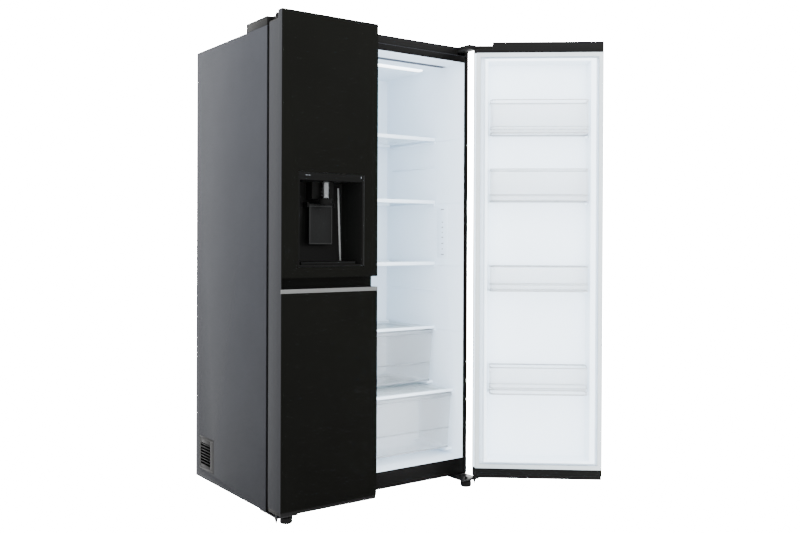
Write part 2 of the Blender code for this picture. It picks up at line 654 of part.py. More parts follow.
def fresh_food(root):
    rails = [(top - SHELF_LIP - FIT, SHELF_FRONT + 0.004, SHELF_BACK, RAIL_OUT, RAIL_HEIGHT)
             for top in SHELF_TOPS]
    rails.append((UPPER_COVER_TOP - COVER_THICK - FIT, SHELF_FRONT, SHELF_BACK, RAIL_OUT,
                  RAIL_HEIGHT))
    rails.append((LOWER_COVER_TOP - COVER_THICK - FIT, LOWER_COVER_FRONT + 0.004, SHELF_BACK, RAIL_OUT,
                  RAIL_HEIGHT))
    rails.append((UPPER_CRISPER_BOTTOM - FIT, SHELF_FRONT + 0.020, SHELF_BACK, RUNNER_OUT,
                  RUNNER_HEIGHT))
    rails.append((LOWER_CRISPER_BOTTOM - FIT, LOWER_COVER_FRONT + 0.015, STEP_Y - 0.004, RUNNER_OUT,
                  RUNNER_HEIGHT))
    liner("fresh_food_liner", FRESH, root, rails)
    for k, top in enumerate(SHELF_TOPS):
        glass_shelf(f"glass_shelf_{k + 1}", FRESH, top, SHELF_FRONT, SHELF_BACK, root)
    for name, top, front in (("upper_crisper_cover", UPPER_COVER_TOP, SHELF_FRONT),
                             ("lower_crisper_cover", LOWER_COVER_TOP, LOWER_COVER_FRONT)):
        glass_shelf(name, FRESH, top - 0.002, front, SHELF_BACK, root, COVER_THICK - 0.002)
    crisper("upper_crisper", (UPPER_CRISPER_BOTTOM, UPPER_COVER_TOP - COVER_THICK - 0.004),
            SHELF_FRONT + 0.005, SHELF_BACK - 0.010, root)
    crisper("lower_crisper", (LOWER_CRISPER_BOTTOM, LOWER_COVER_TOP - COVER_THICK - 0.004),
            LOWER_COVER_FRONT + 0.005, STEP_Y - 0.010, root)
    duct_x, duct_z = inset(FRESH, DUCT_SIDE_GAP, DUCT_SIDE_GAP), (UPPER_COVER_TOP + 0.071,
                                                                  OPEN_TOP - 0.0655)
    duct_y = (LINER_BACK - FIT - DUCT_THICK, LINER_BACK - FIT)
    duct = part("fresh_food_duct", box((duct_x, duct_y, duct_z)), "white_plastic", root)
    ends = ((duct_x[0], duct_x[0] + DUCT_SLOT), (duct_x[1] - DUCT_SLOT, duct_x[1]))
    for end in ends:
        cut(duct, *[(inset(end, DUCT_SLOT / 6, DUCT_SLOT / 6), (duct_y[0] - DUCT_THICK,
                                                                duct_y[0] + DUCT_THICK / 2),
                     (low, low + 0.010)) for low in [top + 0.125 for top in SHELF_TOPS]])
    part("ceiling_lamp", box((inset(FRESH, LAMP_SIDE_GAP, LAMP_SIDE_GAP), LAMP_Y,
                              (OPEN_TOP - 0.006, OPEN_TOP - FIT))), "clear_plastic", root)
    part("touch_panel", box(((FRESH[1] - 0.0023, FRESH[1] - FIT), (0.2195, 0.288), (0.922, 1.135))),
         "white_plastic", root)


# ---- Freezer compartment ----
def freezer(root):
    cover_y = EVAPORATOR_COVER_Y
    back = cover_y - 0.008
    bin_z = (ICE_BIN_BOTTOM, ICE_BIN_BOTTOM + ICE_BIN_HEIGHT)
    drawer_z = (STEP_Z + 0.036, STEP_Z + 0.036 + DRAWER_HEIGHT)
    rails = [(FREEZER_SHELF_TOP - SHELF_LIP - FIT, FREEZER_FRONT + 0.010, back, RAIL_OUT, RAIL_HEIGHT)]
    rails += [(z[0] - FIT, FREEZER_FRONT + 0.012, back, RUNNER_OUT, RAIL_HEIGHT)
              for z in (bin_z, drawer_z)]
    liner("freezer_liner", COLD, root, rails)
    glass_shelf("freezer_shelf", COLD, FREEZER_SHELF_TOP, FREEZER_FRONT, back, root)
    for name, z in (("ice_bin", bin_z), ("freezer_drawer", drawer_z)):
        made = part(name, tub(inset(COLD, CRISPER_SIDE_GAP, CRISPER_SIDE_GAP), (FREEZER_FRONT, back),
                              z, CRISPER_TAPER), "clear_plastic", root)
        thicken(made, CRISPER_WALL)
    cover = part("evaporator_cover", box((inset(COLD, 0.002, 0.002), (cover_y, cover_y + 0.004),
                                          (STEP_Z + FIT, OPEN_TOP - 0.0355))), "white_plastic", root)
    vents = [STEP_Z + 0.043, STEP_Z + 0.063] + [FREEZER_SHELF_TOP + step for step in (0.18, 0.20, 0.22)]
    vents += [bin_z[1] + 0.06, bin_z[1] + 0.08]
    cut(cover, *[(inset(COLD, VENT_SIDE_GAP, VENT_SIDE_GAP), (cover_y - 0.01, cover_y + 0.02),
                  (low, low + 0.008)) for low in vents])
    coil_z = (STEP_Z + 0.028, STEP_Z + 0.028 + EVAPORATOR_HEIGHT)
    finned("evaporator", inset(COLD, EVAPORATOR_SIDE_GAP, EVAPORATOR_SIDE_GAP),
           (cover_y + 0.018, LINER_BACK - 0.011), coil_z, 11, root)
    fan_at = (sum(COLD) / 2, LINER_BACK - 0.041, coil_z[1] + 0.105 + EVAPORATOR_FAN_RADIUS)
    blades("evaporator_fan", fan_at, EVAPORATOR_FAN_RADIUS, 0.020, "white_plastic", root)
    maker_x, maker_bottom = inset(COLD, ICE_MAKER_SIDE_GAP, ICE_MAKER_SIDE_GAP), OPEN_TOP - ICE_MAKER_DROP
    maker_z = (maker_bottom, maker_bottom + ICE_MAKER_HEIGHT)
    maker = part("ice_maker", box((maker_x, (cover_y - 0.210, back), maker_z)), "white_plastic", root)
    cut(maker, (inset(maker_x, 0.020, 0.020), (cover_y - 0.190, back - 0.040),
                (maker_z[0] + 0.030, maker_z[1] + 0.040)))


# ---- Doors ----
def door_skin(name, span, hinge_side, anchor_at):
    """The folded steel outside of a door, with the pocket handle's groove across its front."""
    wall = SKIN
    inner = inset(span, wall, wall)
    back = (wall, DOOR_DEPTH + 0.01)
    skin = part(name, box((span, (0.0, DOOR_DEPTH - 0.0025), (SKIN_BOTTOM, HEIGHT))), "black_front",
                anchor_at)
    cut(skin, (inner, back, (GROOVE_TOP + wall, HEIGHT + 0.01)),
        (inner, back, (SKIN_BOTTOM - 0.01, TRIM_BOTTOM - wall)))
    cut(skin, (inner, (GROOVE_DEPTH + wall, DOOR_DEPTH + 0.02), (TRIM_BOTTOM - 0.01, GROOVE_TOP + 0.01)))
    ledge = inset(span, -0.01, -0.01)
    groove = (ledge[0], span[1] - wall) if hinge_side > 0 else (span[0] + wall, ledge[1])
    cut(skin, (groove, (-0.01, GROOVE_DEPTH), (GROOVE_BOTTOM, GROOVE_TOP)))
    cut(skin, (ledge, (-0.01, TRIM_THICK + FIT), (TRIM_BOTTOM, GROOVE_BOTTOM + 0.001)))
    cut(skin, (pocket(hinge_side, 0.01), (POCKET_FRONT, DOOR_DEPTH + 0.01),
               (POCKET_FLOOR - 0.005, HEIGHT + 0.01)))
    return skin


def pocket(hinge_side, past):
    return sorted((hinge_side * (HALF - POCKET_WIDTH), hinge_side * (HALF + past)))


def door_cap(name, span, hinge_side, z, anchor_at):
    """The moulding that closes the top or the bottom of a door and takes the hinge pin."""
    x = inset(span, SKIN + FIT, SKIN + FIT)
    cap = part(name, box((x, (SKIN + FIT, DOOR_DEPTH), z)), "black_plastic", anchor_at)
    upper = z[1] > HEIGHT / 2
    if upper:
        cut(cap, (pocket(hinge_side, 0.01), (POCKET_FRONT, DOOR_DEPTH + 0.01), (POCKET_FLOOR, z[1] + 0.01)))
    start, end = z[0] - 0.01, POCKET_FLOOR + 0.01 if upper else LOWER_PIN_TOP + 0.002
    combine(cap, rod((hinge_side * PIN_X, PIN_Y, start), PIN_RADIUS + PIN_CLEAR, end - start, steps=16),
            "DIFFERENCE")
    trough = inset(span, 0.090, 0.090)
    hollow = (z[0] - 0.01, z[1] - 0.006) if upper else (z[0] + 0.006, z[1] + 0.01)
    cut(cap, (trough, (0.012, DOOR_DEPTH - 0.008), hollow))


def door_liner(name, span, hinge_side, dyke, cavity_y, bins, anchor_at):
    """The white inside sheet of a door: a flat rim, a raised dyke and a recess for the bins."""
    x, z = inset(span, SKIN + FIT, SKIN + FIT), (FOOT_CAP_TOP + FIT, CAP_BOTTOM - FIT)
    levels = [(x, z, DOOR_DEPTH)]
    top_y = DOOR_DEPTH + dyke
    margin_free, margin_hinge = DYKE_MARGIN_FREE - SKIN - FIT, DYKE_MARGIN_HINGE - SKIN - FIT
    for free, hinge, end, y in ((margin_free, margin_hinge, DYKE_MARGIN_END, DOOR_DEPTH),
                                (DYKE_DRAFT, DYKE_DRAFT, DYKE_DRAFT, top_y),
                                (DYKE_RIM_FREE, DYKE_RIM, DYKE_RIM, top_y),
                                (CAVITY_DRAFT_FREE, CAVITY_DRAFT, CAVITY_DRAFT, cavity_y)):
        x = inset(x, free, hinge) if hinge_side > 0 else inset(x, hinge, free)
        z = inset(z, end, end)
        levels.append((x, z, y))
    made = part(name, stepped_sheet(levels, 1), "white_plastic", anchor_at)
    thicken(made, LINER_THICK)
    lugs = []
    for bottom, _ in bins:
        for wall in ((x[0] - 2 * LINER_THICK, x[0] + LUG_OUT), (x[1] - LUG_OUT, x[1] + 2 * LINER_THICK)):
            lugs.append((wall, (cavity_y - LINER_THICK / 2, cavity_y + LUG_DEPTH),
                         (bottom - FIT - LUG_HEIGHT, bottom - FIT)))
    join(made, *lugs)
    return x


def door_gasket(name, span, hinge_side, anchor_at):
    y = (DOOR_DEPTH + FIT, CASE_FRONT - FIT)
    low, high = (GASKET_FREE_INSET, GASKET_INSET) if hinge_side > 0 else (GASKET_INSET,
                                                                          GASKET_FREE_INSET)
    x = inset(span, low, high)
    z = (OPEN_BOTTOM - GASKET_WIDTH, OPEN_TOP + GASKET_WIDTH + 0.0015)
    ring = part(name, box((x, y, z)), "grey_rubber", anchor_at)
    cut(ring, (inset(x, GASKET_WIDTH, GASKET_WIDTH), (y[0] - 0.01, y[1] + 0.01),
               inset(z, GASKET_WIDTH, GASKET_WIDTH)))


def door_bins(prefix, bins, floor_x, cavity_y, depth, anchor_at):
    for k, z in enumerate(bins):
        y = (cavity_y + BIN_BACK_GAP, cavity_y + BIN_BACK_GAP + depth)
        bm = tub(inset(floor_x, BIN_SIDE_GAP, BIN_SIDE_GAP), y, z, corner=-BIN_CORNER)
        made = part(f"{prefix}_{k + 1}", bm, "clear_plastic", anchor_at)
        thicken(made, BIN_WALL)


def handle_trim(name, span, anchor_at):
    part(name, box((span, (0.0, TRIM_THICK), (TRIM_BOTTOM + FIT, GROOVE_BOTTOM))), "bright_trim",
         anchor_at)


def door(prefix, span, hinge_side, dyke, cavity_y, bins, depth, turn, root):
    pin = anchor(f"{prefix}_pin", (hinge_side * PIN_X, PIN_Y, 0.0), root, turn)
    skin = door_skin(f"{prefix}_skin", span, hinge_side, pin)
    handle_trim(f"{prefix}_handle_trim", span, pin)
    door_cap(f"{prefix}_top_cap", span, hinge_side, (CAP_BOTTOM, DOOR_TOP), pin)
    door_cap(f"{prefix}_bottom_cap", span, hinge_side, (DOOR_BOTTOM, FOOT_CAP_TOP), pin)
    door_gasket(f"{prefix}_gasket", span, hinge_side, pin)
    floor_x = door_liner(f"{prefix}_liner", span, hinge_side, dyke, cavity_y, bins, pin)
    door_bins(f"{prefix}_bin", bins, floor_x, cavity_y, depth, pin)
    return pin, skin


# ---- Dispenser in the freezer door ----
def dispenser(pin, skin):
    frame_x = (RECESS[0] - BEZEL, RECESS[1] + BEZEL_RIGHT)
    frame_z = (RECESS_BOTTOM - BEZEL_BOTTOM, PANEL_TOP)
    hole = ((frame_x[0] - FIT, frame_x[1] + FIT), (-0.01, 0.02), (frame_z[0] - FIT, frame_z[1] + FIT))
    cut(skin, hole)
    face_y = 0.0008
    recess_z = (RECESS_BOTTOM, RECESS_TOP)
    bm = stepped_sheet([(frame_x, frame_z, face_y), (RECESS, recess_z, face_y),
                        (inset(RECESS, RECESS_TAPER * 0.4, RECESS_TAPER), inset(recess_z, 0.0, 0.001),
                         RECESS_DEPTH)], -1)
    housing = part("dispenser_housing", bm, "black_plastic", pin)
    thicken(housing, HOUSING_WALL)
    pivot_y = LEVER_Y + LEVER_THICK / 2
    ears = [spread(RECESS_X + way * (LEVER_WIDTH / 2 + 0.006), 0.008) for way in (-1, 1)]
    join(housing, (spread(RECESS_X, 0.090), (NOZZLE_Y + NOZZLE_RADIUS + 0.004, RECESS_DEPTH + 0.001),
                   (LEVER_TOP + 0.020, RECESS_TOP + 0.001)),
         *[(ear, (LEVER_Y - 0.004, RECESS_DEPTH + 0.001), spread(LEVER_TOP, 0.018)) for ear in ears])
    combine(housing, rod((RECESS_X - LEVER_WIDTH, pivot_y, LEVER_TOP), PIVOT_RADIUS + PIN_CLEAR,
                         2 * LEVER_WIDTH, "X", 12), "DIFFERENCE")

    at = (RECESS_X, NOZZLE_Y, NOZZLE_BOTTOM - 0.001)
    top = RECESS_TOP - 0.001 - FIT
    nozzle = part("dispenser_nozzle", rod(at, NOZZLE_RADIUS, top - at[2]), "chrome", pin, smooth=True)
    combine(nozzle, rod((RECESS_X, NOZZLE_Y, COLLAR_BOTTOM), COLLAR_RADIUS,
                        NOZZLE_BOTTOM - COLLAR_BOTTOM), "UNION")

    axis = anchor("dispenser_lever_axis", (RECESS_X, pivot_y, LEVER_TOP), pin)
    width = spread(RECESS_X, LEVER_WIDTH)
    lever = part("dispenser_lever", box((width, (LEVER_Y, LEVER_Y + LEVER_THICK),
                                         (LEVER_BOTTOM, LEVER_TOP))), "black_plastic", axis)
    combine(lever, rod((width[0] - 0.008, pivot_y, LEVER_TOP), PIVOT_RADIUS, LEVER_WIDTH + 0.016, "X",
                       12), "UNION")
    tray_z = (RECESS_BOTTOM + FIT, RECESS_BOTTOM + TRAY_HEIGHT)
    tray_x = inset(RECESS, 0.010, RECESS_TAPER + 0.002)
    tray = part("drip_tray", box((tray_x, (0.006, RECESS_DEPTH - 0.004), tray_z)), "black_plastic", pin)
    cut(tray, *[(inset(tray_x, 0.014, 0.014), (y, y + 0.005), (tray_z[0] + 0.004, tray_z[1] + 0.01))
                for y in (0.024, 0.036, 0.048, 0.060, 0.072)])


# ---- Assembly ----
def build():
    root = anchor("refrigerator", (0.0, 0.0, 0.0))
    cabinet_shell(root)
    base_frame(root)
    cabinet_foam(root)
    front_frame(root)
    back_covers(root)
    side_vent(root)
    hinge_cover(root)
    fresh_food(root)
    freezer(root)
    machine_room(root)
    for side, word in ((-1, "left"), (1, "right")):
        top_hinge(f"top_hinge_{word}", side, root)
        bottom_hinge(f"bottom_hinge_{word}", side, root)
        front_foot(f"front_foot_{word}", side, root)
        rear_roller(f"rear_roller_{word}", side, root)
    door("fridge_door", FRIDGE_DOOR, 1, FRIDGE_DYKE, FRIDGE_CAVITY_Y, FRIDGE_BINS, BIN_DEPTH,
         OPEN_ANGLE, root)
    pin, skin = door("freezer_door", FREEZER_DOOR, -1, FREEZER_DYKE, FREEZER_CAVITY_Y, FREEZER_BINS,
                     FREEZER_BIN_DEPTH, 0.0, root)
    dispenser(pin, skin)
    return root


def stand_on_origin(root):
    """Moves the object so that the middle of its box is over the origin, its feet at Z 0."""
    bpy.context.view_layer.update()
    graph = bpy.context.evaluated_depsgraph_get()
    points = []
    for obj in parts.objects:
        if obj.type == "MESH":
            shape = obj.evaluated_get(graph)
            points += [shape.matrix_world @ vert.co for vert in shape.to_mesh().vertices]
            shape.to_mesh_clear()
    middle = [(min(p[i] for p in points) + max(p[i] for p in points)) / 2 for i in (0, 1)]
    root.location = (-middle[0], -middle[1], 0.0)


stand_on_origin(build())
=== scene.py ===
"""Looks of the side by side refrigerator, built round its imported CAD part.

Every shape is drawn in the home frame of its body, where the doors are closed, from the sizes of
the CAD nodes. A piece of the fridge door is then turned about the hinge into its place at rest.
"""

import json
import math

import bmesh
import bpy
from mathutils import Matrix, Vector


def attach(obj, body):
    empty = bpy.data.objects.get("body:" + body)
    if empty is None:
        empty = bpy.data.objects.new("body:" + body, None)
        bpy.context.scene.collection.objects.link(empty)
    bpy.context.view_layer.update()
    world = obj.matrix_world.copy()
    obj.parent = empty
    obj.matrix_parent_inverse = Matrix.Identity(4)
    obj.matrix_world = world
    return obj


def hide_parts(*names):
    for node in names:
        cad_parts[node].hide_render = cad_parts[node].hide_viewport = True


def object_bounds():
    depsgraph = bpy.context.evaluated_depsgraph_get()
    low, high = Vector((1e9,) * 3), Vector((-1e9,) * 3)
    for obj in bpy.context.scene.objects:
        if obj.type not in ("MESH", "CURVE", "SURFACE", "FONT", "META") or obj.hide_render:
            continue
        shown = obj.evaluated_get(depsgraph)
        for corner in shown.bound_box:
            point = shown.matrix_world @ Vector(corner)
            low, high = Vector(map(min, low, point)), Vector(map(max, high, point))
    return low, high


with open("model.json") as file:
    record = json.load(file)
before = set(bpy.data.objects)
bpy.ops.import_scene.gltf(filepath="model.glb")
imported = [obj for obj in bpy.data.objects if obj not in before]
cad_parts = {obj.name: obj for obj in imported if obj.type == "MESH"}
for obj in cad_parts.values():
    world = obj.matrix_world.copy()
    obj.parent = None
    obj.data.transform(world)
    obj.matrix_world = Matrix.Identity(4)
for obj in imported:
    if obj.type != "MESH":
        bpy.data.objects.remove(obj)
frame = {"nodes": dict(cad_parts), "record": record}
LOW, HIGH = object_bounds()
NODES = frame["nodes"]
RECORD = frame["record"]
SLOTS = {s["node"]: s["material_slot"] for s in RECORD["subparts"]}
BODY = {node: body for body, nodes in RECORD["behaviour"]["bodies"].items() for node in nodes}
JOINTS = {j["name"]: j for j in RECORD["behaviour"]["joints"]}
HINGE = JOINTS["fridge_door_hinge"]
PIN = Vector(HINGE["pos_m"])
OPEN = (Matrix.Translation(PIN) @ Matrix.Rotation(math.radians(-HINGE["range_deg"][0]), 4, "Z")
        @ Matrix.Translation(-PIN))
SHUT = OPEN.inverted()
# Sheets with openings: their flat faces can't be merged whole, as a face has no holes.
PIERCED = ("cabinet_shell", "front_frame", "machine_room_cover", "evaporator_cover",
           "fresh_food_duct", "base_frame")
LINER_SHEET = 0.002               # the liners' sheet, whose edge the posts cover
SEAL_FACE = 0.0170                # the flat face of a door seal
SHARP_EDGE = math.radians(35)     # flatter edges than this are shaded smooth
SAME_PLACE = 1e-6                 # points this close are one point
PRINT = 0.0002                    # how far a printed mark stands off its face
BACKDROP = 30.0                   # the plain backdrop as the camera sees it
SKY = 5.6                         # and as it lights the object
done = set()


# ---- Where things are ----
def turn_of(body, way):
    """The turn of a body: only the fridge door and its bins stand away from home at rest."""
    return way if body.startswith("fridge_door") else Matrix()


def room(node):
    """The X, Y and Z ranges of a CAD node in the home frame of its body."""
    shut = turn_of(BODY[node], SHUT)
    points = [shut @ vert.co for vert in NODES[node].data.vertices]
    return [(min(p[i] for p in points), max(p[i] for p in points)) for i in range(3)]


def mid(span):
    return (span[0] + span[1]) / 2


def inset(span, low, high=None):
    """A span drawn in at both ends, by the same amount unless high is given."""
    return span[0] + low, span[1] - (low if high is None else high)


def about(centre, width):
    """The span of a width about its centre."""
    return centre - width / 2, centre + width / 2


# ---- Materials ----
def two_tones(nodes, links, factor, low, high):
    """Runs a 0 to 1 value through a colour ramp between two colours."""
    ramp = nodes.new("ShaderNodeValToRGB")
    ramp.color_ramp.elements[0].position = 0.3
    ramp.color_ramp.elements[1].position = 0.7
    ramp.color_ramp.elements[0].color = (*low, 1.0)
    ramp.color_ramp.elements[1].color = (*high, 1.0)
    links.new(factor, ramp.inputs["Fac"])
    return ramp.outputs["Color"]


def painted_floor_shade(nodes, links, place, colour, shade_at_floor):
    """Painted shade: darkens a colour from the top of the object down to the floor, where less light
    reaches.
    """
    split = nodes.new("ShaderNodeSeparateXYZ")
    links.new(place.outputs["Object"], split.inputs["Vector"])
    level = nodes.new("ShaderNodeMapRange")
    level.inputs["From Max"].default_value = HIGH.z
    level.inputs["To Min"].default_value = shade_at_floor
    links.new(split.outputs["Z"], level.inputs["Value"])
    scale = nodes.new("ShaderNodeVectorMath")
    scale.operation = "SCALE"
    links.new(colour, scale.inputs[0])
    links.new(level.outputs["Result"], scale.inputs["Scale"])
    return scale.outputs["Vector"]


def marked(nodes, links, colour, other):
    """Gives the faces that carry the mark another colour."""
    mark = nodes.new("ShaderNodeAttribute")
    mark.attribute_name = "mark"
    mix = nodes.new("ShaderNodeMix")
    mix.data_type = "RGBA"
    links.new(mark.outputs["Fac"], mix.inputs["Factor"])
    links.new(colour, mix.inputs["A"])
    mix.inputs["B"].default_value = (*other, 1.0)
    return mix.outputs["Result"]


def finish(name, colour, rough, metal=0.0, vary=0.06, grain=900.0, bump=0.05, stretch=(1, 1, 1),
           specular=0.5, alpha=1.0, glow=0.0, coat=0.0, cloud=6.0, rough_vary=0.15, shade_at_floor=1.0,
           other=None):
    """A moulded, painted or metal finish: faint clouds of tone, and a fine grain in the relief."""
    made = bpy.data.materials.new(name)
    made.use_nodes = True
    nodes, links = made.node_tree.nodes, made.node_tree.links
    shader = nodes["Principled BSDF"]
    place = nodes.new("ShaderNodeTexCoord")
    scale = nodes.new("ShaderNodeMapping")
    scale.inputs["Scale"].default_value = stretch
    links.new(place.outputs["Object"], scale.inputs["Vector"])
    clouds = nodes.new("ShaderNodeTexNoise")
    clouds.inputs["Scale"].default_value = cloud
    clouds.inputs["Detail"].default_value = 3.0
    links.new(scale.outputs["Vector"], clouds.inputs["Vector"])
    low = [c * (1 - vary) for c in colour]
    high = [min(1.0, c * (1 + vary)) for c in colour]
    tone = two_tones(nodes, links, clouds.outputs["Fac"], low, high)
    if other:
        tone = marked(nodes, links, tone, other)
    # Painted shade: the colour darkens towards the floor.
    if shade_at_floor < 1.0:
        tone = painted_floor_shade(nodes, links, place, tone, shade_at_floor)
    links.new(tone, shader.inputs["Base Color"])
    fine = nodes.new("ShaderNodeTexNoise")
    fine.inputs["Scale"].default_value = grain
    fine.inputs["Detail"].default_value = 2.0
    links.new(scale.outputs["Vector"], fine.inputs["Vector"])
    wear = nodes.new("ShaderNodeMapRange")
    wear.inputs["To Min"].default_value = rough * (1 - rough_vary)
    wear.inputs["To Max"].default_value = min(1.0, rough * (1 + rough_vary))
    links.new(fine.outputs["Fac"], wear.inputs["Value"])
    links.new(wear.outputs["Result"], shader.inputs["Roughness"])
    relief = nodes.new("ShaderNodeBump")
    relief.inputs["Strength"].default_value = bump
    relief.inputs["Distance"].default_value = 0.0004
    links.new(fine.outputs["Fac"], relief.inputs["Height"])
    links.new(relief.outputs["Normal"], shader.inputs["Normal"])
    shader.inputs["Metallic"].default_value = metal
    shader.inputs["Specular IOR Level"].default_value = specular
    shader.inputs["Alpha"].default_value = alpha
    shader.inputs["Coat Weight"].default_value = coat
    shader.inputs["Coat Roughness"].default_value = 0.1
    if glow:
        shader.inputs["Emission Color"].default_value = (0.93, 0.97, 1.0, 1.0)
        shader.inputs["Emission Strength"].default_value = glow
    return made


FINISHES = {
    # The side sheets and the black front carry painted shade, darker towards the floor.
    "side_steel": finish("side_steel", (0.0175, 0.0186, 0.0222), 0.55, vary=0.05, bump=0.06,
                         specular=0.03, shade_at_floor=0.45),
    "black_front": finish("black_front", (0.0019, 0.0020, 0.0016), 0.5, vary=0.08, bump=0.04,
                          specular=0.012, shade_at_floor=0.6, other=(0.0165, 0.0172, 0.0192)),
    "frame_black": finish("frame_black", (0.0022, 0.0022, 0.0022), 0.4, specular=0.03),
    "black_plastic": finish("black_plastic", (0.0028, 0.0028, 0.0028), 0.45, bump=0.10, specular=0.04),
    "dispenser_black": finish("dispenser_black", (0.0018, 0.0019, 0.0018), 0.35, bump=0.03,
                              specular=0.018),
    "pad_black": finish("pad_black", (0.0030, 0.0032, 0.0032), 0.35, bump=0.05, specular=0.03),
    # Dark grey of the top hinges; on the dispenser frame's edge and the lever pad's rim it is a painted
    # highlight.
    "hinge_grey_and_edge_highlight": finish("hinge_grey_and_edge_highlight", (0.0075, 0.0080, 0.0080), 0.4, vary=0.05, specular=0.06),
    "silver": finish("silver", (0.095, 0.100, 0.100), 0.35, vary=0.06, specular=0.3),
    "white_plastic": finish("white_plastic", (0.76, 0.87, 0.98), 0.38, vary=0.012, bump=0.03,
                            specular=0.3),
    "liner_white": finish("liner_white", (0.77, 0.88, 0.99), 0.33, vary=0.012, bump=0.03,
                          specular=0.3),
    "clear_plastic": finish("clear_plastic", (0.74, 0.81, 0.87), 0.08, vary=0.02, bump=0.01,
                            alpha=0.13, specular=0.5),
    "clear_rim": finish("clear_rim", (0.30, 0.34, 0.38), 0.12, vary=0.03, bump=0.01, alpha=0.72,
                        specular=0.5),
    "glass": finish("glass", (0.72, 0.82, 0.85), 0.05, vary=0.01, bump=0.0, alpha=0.32,
                    specular=0.5),
    "grey_rubber": finish("grey_rubber", (0.36, 0.40, 0.42), 0.6, vary=0.03, bump=0.1),
    "bright_trim": finish("bright_trim", (0.030, 0.031, 0.030), 0.4, metal=0.2, vary=0.04,
                          grain=500.0, bump=0.06, stretch=(0.03, 1, 1)),
    "chrome": finish("chrome", (0.060, 0.064, 0.066), 0.24, metal=0.85, vary=0.02, bump=0.0),
    "zinc_steel": finish("zinc_steel", (0.12, 0.123, 0.126), 0.45, metal=0.8, vary=0.1, cloud=40.0,
                         bump=0.06),
    "foam": finish("foam", (0.75, 0.62, 0.38), 0.9, vary=0.1, cloud=60.0, grain=300.0, bump=0.4),
    "fin_metal": finish("fin_metal", (0.40, 0.41, 0.42), 0.35, metal=0.8, vary=0.05),
    "black_enamel": finish("black_enamel", (0.004, 0.004, 0.0043), 0.35, bump=0.06, specular=0.1,
                           coat=0.05),
    "print_grey": finish("print_grey", (0.12, 0.13, 0.15), 0.5, vary=0.03),
    # Painted shade for the slot in the ceiling.
    "slot_painted_shade": finish("slot_painted_shade", (0.010, 0.014, 0.028), 0.6, vary=0.05),
    "lamp": finish("lamp", (0.95, 0.97, 1.0), 0.4, vary=0.01, bump=0.0, glow=5.0),
}


# ---- Mesh helpers ----
def block(bm, x, y, z, round_off=0.0, segments=2):
    """A box between the two values given on each axis, with its edges rounded off."""
    size = Vector((x[1] - x[0], y[1] - y[0], z[1] - z[0]))
    place = Matrix.Translation((mid(x), mid(y), mid(z))) @ Matrix.Diagonal((*size, 1.0))
    verts = bmesh.ops.create_cube(bm, size=1.0, matrix=place)["verts"]
    if round_off:
        edges = {edge for vert in verts for edge in vert.link_edges}
        bmesh.ops.bevel(bm, geom=list(edges), offset=min(round_off, min(size) * 0.45),
                        segments=segments, profile=0.5, affect="EDGES", material=-1)
    return verts


def rod(bm, at, radius, length, axis, steps):
    """A round bar that starts at a point and runs along X or Y."""
    turn = Matrix.Rotation(math.pi / 2, 4, "Y") if axis == "X" else Matrix.Rotation(-math.pi / 2, 4, "X")
    place = Matrix.Translation(at) @ turn @ Matrix.Translation((0, 0, length / 2))
    bmesh.ops.create_cone(bm, cap_ends=True, segments=steps, radius1=radius, radius2=radius,
                          depth=length, matrix=place)


def turned(bm, at, profile):
    """Spins a profile of (radius, height) points about an upright axis."""
    verts = [bm.verts.new((at[0] + r, at[1], at[2] + z)) for r, z in profile]
    edges = [bm.edges.new(pair) for pair in zip(verts, verts[1:])]
    bmesh.ops.spin(bm, geom=verts + edges, cent=at, axis=(0, 0, 1), angle=2 * math.pi, steps=32,
                   use_merge=True)
    bmesh.ops.remove_doubles(bm, verts=bm.verts, dist=SAME_PLACE)
    bmesh.ops.recalc_face_normals(bm, faces=bm.faces)


def hollow(bm, x, y, z, wall, taper=0.0, round_off=0.0, corner=0.0):
    """A thin walled box without a lid, drawn in at the foot by the taper.

    round_off rounds the edges between walls and floor, and corner the two upright edges at the
    far side.
    """
    own = bmesh.new()
    for vert in block(own, x, y, z):
        if taper and vert.co.z < mid(z):
            vert.co.x += taper if vert.co.x < mid(x) else -taper
            vert.co.y += taper if vert.co.y < mid(y) else -taper
    bmesh.ops.delete(own, geom=[f for f in own.faces
                                if all(abs(v.co.z - z[1]) < SAME_PLACE for v in f.verts)],
                     context="FACES")
    if corner:
        upright = [e for e in own.edges if all(abs(v.co.y - y[1]) < 1e-4 + taper for v in e.verts)
                   and abs(e.verts[0].co.z - e.verts[1].co.z) > 1e-3]
        bmesh.ops.bevel(own, geom=upright, offset=corner, segments=6, profile=0.5, affect="EDGES",
                        material=-1)
    if round_off:
        inner = [e for e in own.edges if len(e.link_faces) == 2 and e.calc_face_angle(0.0) > 0.6]
        bmesh.ops.bevel(own, geom=inner, offset=round_off, segments=4, profile=0.5,
                        affect="EDGES", material=-1)
    bmesh.ops.recalc_face_normals(own, faces=own.faces)
    centre = Vector((mid(x), mid(y), mid(z)))
    face = max(own.faces, key=lambda f: f.calc_area())
    if (face.calc_center_median() - centre).dot(face.normal) < 0:
        bmesh.ops.reverse_faces(own, faces=own.faces)
    bmesh.ops.solidify(own, geom=own.faces[:], thickness=wall)
    merge(bm, own)


def merge(bm, other):
    """Adds one mesh to another and frees it."""
    mesh = bpy.data.meshes.new("part")
    other.to_mesh(mesh)
    other.free()
    bm.from_mesh(mesh)
    bpy.data.meshes.remove(mesh)


